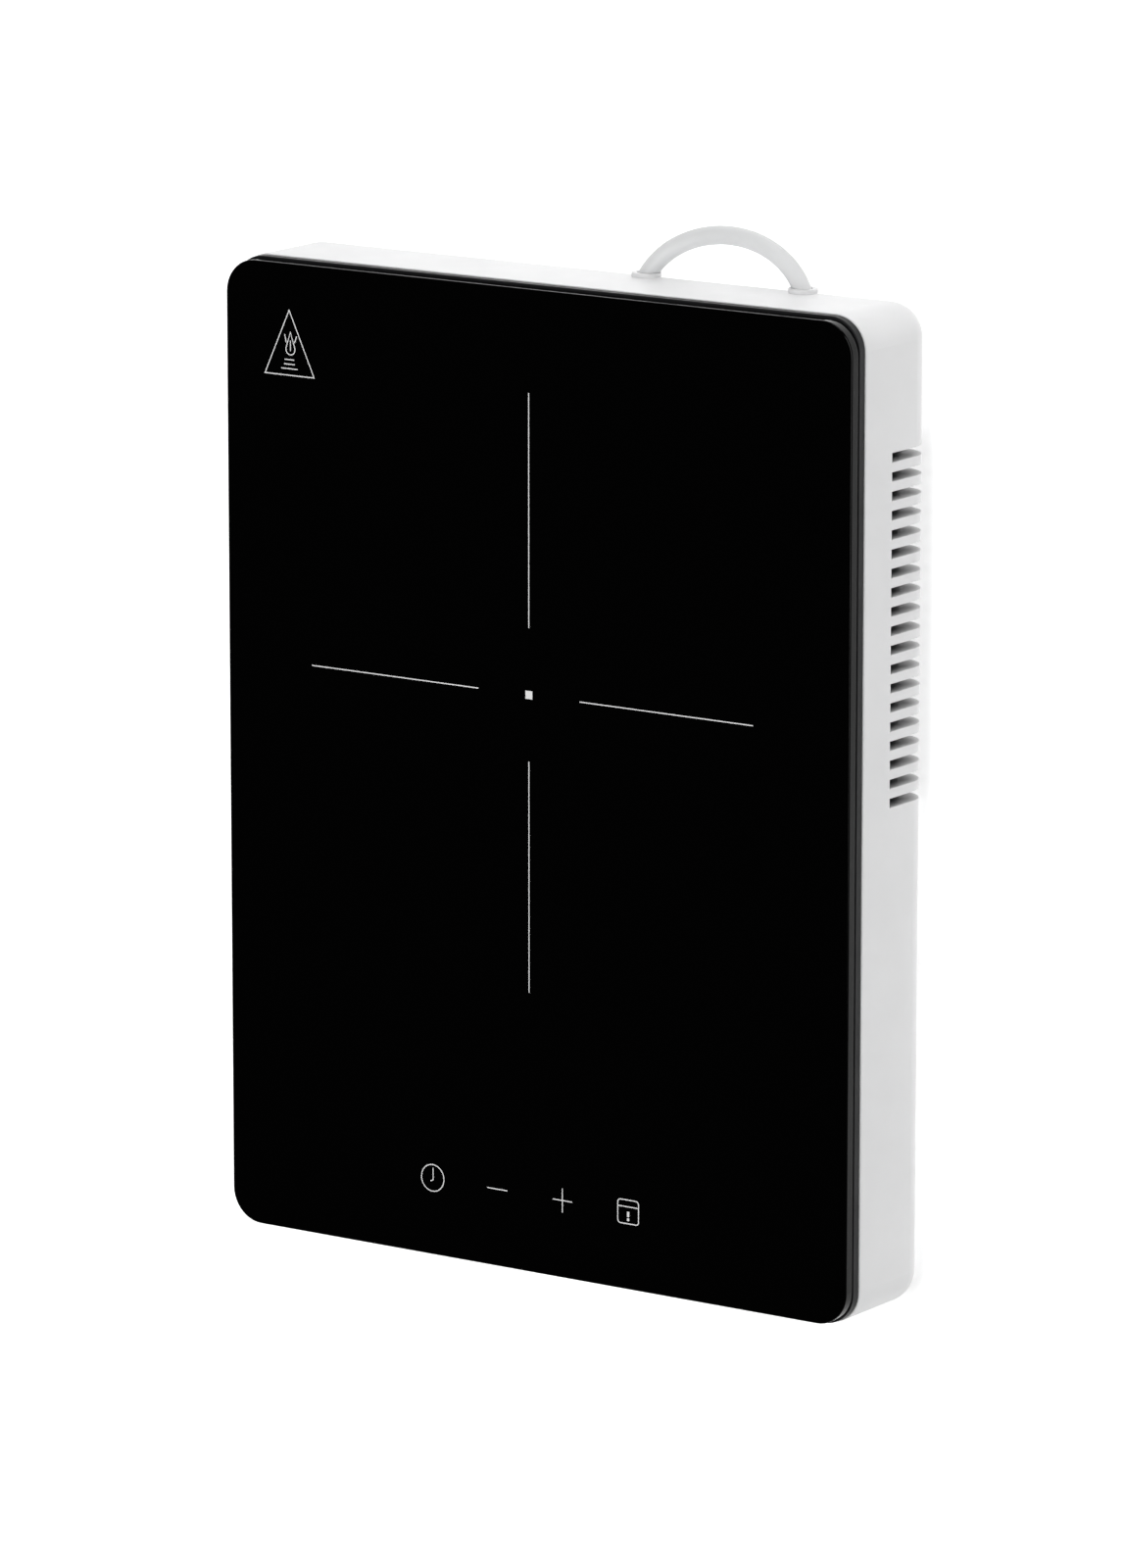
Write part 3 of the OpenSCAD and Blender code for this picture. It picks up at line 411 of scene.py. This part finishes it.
def circuit_board():
    """Green solder mask over the faint relief of copper tracks."""
    colour = (0.012, 0.13, 0.045)
    s = Shader("circuit_board", colour, 0.3)
    tracks = s.bands(14 * MM, "DIAGONAL", 6.0)
    s.colours(tracks, shade(colour, 0.8), shade(colour, 1.6), 0.45, 0.55)
    s.gloss(s.noise(2 * MM, 3.0), 0.25, 0.4)
    s.bump(tracks, 0.03 * MM)
    return s


def cartridge_glass():
    """Thin clear tube with drawn streaks of gloss."""
    s = Shader("fuse_glass", (0.8, 0.85, 0.88), 0.08)
    s.set("Alpha", 0.6)
    s.gloss(s.noise(4 * MM), 0.05, 0.15)
    return s


def make_materials():
    """One material for each slot of the record."""
    made = {
        "black_glass": black_glass(),
        "white_enamel": white_enamel(),
        "black_silicone": moulded("black_silicone", (0.003, 0.003, 0.003), 0.6, specular=0.08),
        "black_plastic": moulded("black_plastic", (0.009, 0.009, 0.01), 0.45, specular=0.16),
        "white_plastic": white_plastic(),
        "grey_rubber": moulded("grey_rubber", (0.09, 0.09, 0.095), 0.75, 0.5 * MM, 0.02 * MM),
        "black_rubber": moulded("black_rubber", (0.02, 0.02, 0.02), 0.65, 0.5 * MM, 0.015 * MM),
        "loop_rubber": moulded("loop_rubber", (0.69, 0.695, 0.7), 0.5, 0.45 * MM, 0.012 * MM),
        "steel": metal("steel", (0.6, 0.6, 0.62), 0.32, "Z"),
        "aluminium": metal("aluminium", (0.78, 0.79, 0.8), 0.35, "X"),
        "copper": wound_copper(),
        "ferrite": sintered("ferrite", (0.035, 0.035, 0.04)),
        "mica": mica_sheet(),
        "circuit_board": circuit_board(),
        "fuse_glass": cartridge_glass(),
        "nylon": moulded("nylon", (0.72, 0.7, 0.62), 0.5),
        "former_plastic": moulded("former_plastic", (0.6, 0.54, 0.42), 0.55),
        "red_silicone": moulded("red_silicone", (0.42, 0.05, 0.03), 0.55),
        "epoxy_orange": moulded("epoxy_orange", (0.7, 0.25, 0.03), 0.25),
        "epoxy_black": moulded("epoxy_black", (0.015, 0.015, 0.016), 0.5),
        "capacitor_film": moulded("capacitor_film", (0.5, 0.36, 0.06), 0.45),
        "capacitor_yellow": moulded("capacitor_yellow", (0.72, 0.46, 0.03), 0.3),
        "varistor_blue": moulded("varistor_blue", (0.02, 0.07, 0.32), 0.25),
        "sleeve_dark": moulded("sleeve_dark", (0.015, 0.03, 0.09), 0.28),
        "terminal_green": moulded("terminal_green", (0.03, 0.24, 0.07), 0.45),
        "display_dark": moulded("display_dark", (0.02, 0.004, 0.004), 0.15),
        "lead_sleeve": moulded("lead_sleeve", (0.5, 0.5, 0.52), 0.5),
    }
    return {slot: shader.material for slot, shader in made.items()}


def dress_nodes(materials):
    """Gives each CAD node the material of its slot."""
    for part in frame["record"]["subparts"]:
        data = frame["nodes"][part["node"]].data
        data.materials.clear()
        data.materials.append(materials[part["material_slot"]])


# ---------------------------------------------------------------- hanging loop

# The skin is inside the CAD cord by the height of the mould's parting line.
LOOP_RADIUS = 3.33 * MM
PARTING_HEIGHT = 0.07 * MM
PARTING_WIDTH = math.radians(6)
LOOP_HEIGHT = 12.1 * MM
LOOP_RISE = 17.3 * MM
LOOP_SPAN = 66.6 * MM
LOOP_LEAN = math.radians(10)
# The cord follows an ellipse whose middle lies this far inside the rear face.
ELLIPSE_IN = 9.6 * MM
ELLIPSE_B = LOOP_RISE + ELLIPSE_IN
ELLIPSE_START = math.asin(ELLIPSE_IN / ELLIPSE_B)
ELLIPSE_A = LOOP_SPAN / 2 / math.cos(ELLIPSE_START)
LOOP_OUT = Vector((0, math.cos(LOOP_LEAN), -math.sin(LOOP_LEAN)))
LOOP_NORMAL = Vector((0, math.sin(LOOP_LEAN), math.cos(LOOP_LEAN)))
LOOP_SIDES = 60
LOOP_STEPS = 140
# Each entry is [distance inside the rear face, radius]: the end of the cord and its retaining head.
LOOP_HEAD = [
    (1.5 * MM, LOOP_RADIUS),
    (3.0 * MM, LOOP_RADIUS),
    (6.0 * MM, LOOP_RADIUS),
    (6.4 * MM, LOOP_RADIUS),
    (6.4 * MM, 4.3 * MM),
    (6.7 * MM, 4.6 * MM),
    (9.5 * MM, 4.6 * MM),
    (9.9 * MM, 4.4 * MM),
    (10.1 * MM, 3.9 * MM),
]


def loop_frame(t):
    """Middle of the cord, from the loop's root, and its direction, at angle t of the ellipse."""
    out = ELLIPSE_B * math.sin(t) - ELLIPSE_IN
    offset = Vector((ELLIPSE_A * math.cos(t), 0, 0)) + LOOP_OUT * out
    along = Vector((-ELLIPSE_A * math.sin(t), 0, 0)) + LOOP_OUT * (ELLIPSE_B * math.cos(t))
    return offset, along.normalized()


def loop_stations():
    """(offset, direction, radius) all along the cord, from the right head to the left one."""
    first, start = loop_frame(ELLIPSE_START)
    last, end = loop_frame(math.pi - ELLIPSE_START)
    right = [(first - start * depth, start, radius) for depth, radius in reversed(LOOP_HEAD)]
    left = [(last + end * depth, end, radius) for depth, radius in LOOP_HEAD]
    arc = []
    for i in range(LOOP_STEPS + 1):
        t = ELLIPSE_START + (math.pi - 2 * ELLIPSE_START) * i / LOOP_STEPS
        arc.append((*loop_frame(t), LOOP_RADIUS))
    return right + arc + left


def parting_fin(angle):
    """Height of the parting line at an angle round the cord: two thin ridges, in the loop's plane."""
    nearest = min(angle % math.pi, math.pi - angle % math.pi)
    return PARTING_HEIGHT * max(0.0, 1 - nearest / PARTING_WIDTH)


def make_loop(material):
    """Moulded elastomer loop, in place of the CAD loop, whose sides are coarser."""
    low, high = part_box("hanging_loop")
    root = Vector(((low.x + high.x) / 2, housing_high.y, housing_low.z + LOOP_HEIGHT))
    bm = bmesh.new()
    rings = []
    for offset, along, radius in loop_stations():
        outward = along.cross(LOOP_NORMAL)
        ring = []
        for i in range(LOOP_SIDES):
            angle = 2 * math.pi * i / LOOP_SIDES
            reach = radius + parting_fin(angle)
            turned = outward * math.cos(angle) - LOOP_NORMAL * math.sin(angle)
            ring.append(bm.verts.new(root + offset + turned * reach))
        rings.append(ring)
    for near, far in zip(rings, rings[1:]):
        for i in range(LOOP_SIDES):
            j = (i + 1) % LOOP_SIDES
            bm.faces.new((near[i], near[j], far[j], far[i]))
    bm.faces.new(rings[0])
    bm.faces.new(list(reversed(rings[-1])))
    bmesh.ops.recalc_face_normals(bm, faces=bm.faces)
    mesh = bpy.data.meshes.new("moulded_loop")
    bm.to_mesh(mesh)
    bm.free()
    mesh.shade_smooth()
    mesh.set_sharp_from_angle(angle=math.radians(35))
    mesh.materials.append(material)
    loop = bpy.data.objects.new("moulded_loop", mesh)
    bpy.context.scene.collection.objects.link(loop)
    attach(loop, "cooktop")
    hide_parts("hanging_loop")


# ---------------------------------------------------------------- scene

bpy.context.scene.view_settings.view_transform = "Standard"
make_camera()
make_world()
make_lights()
make_floor()
materials = make_materials()
dress_nodes(materials)
make_loop(materials["loop_rubber"])
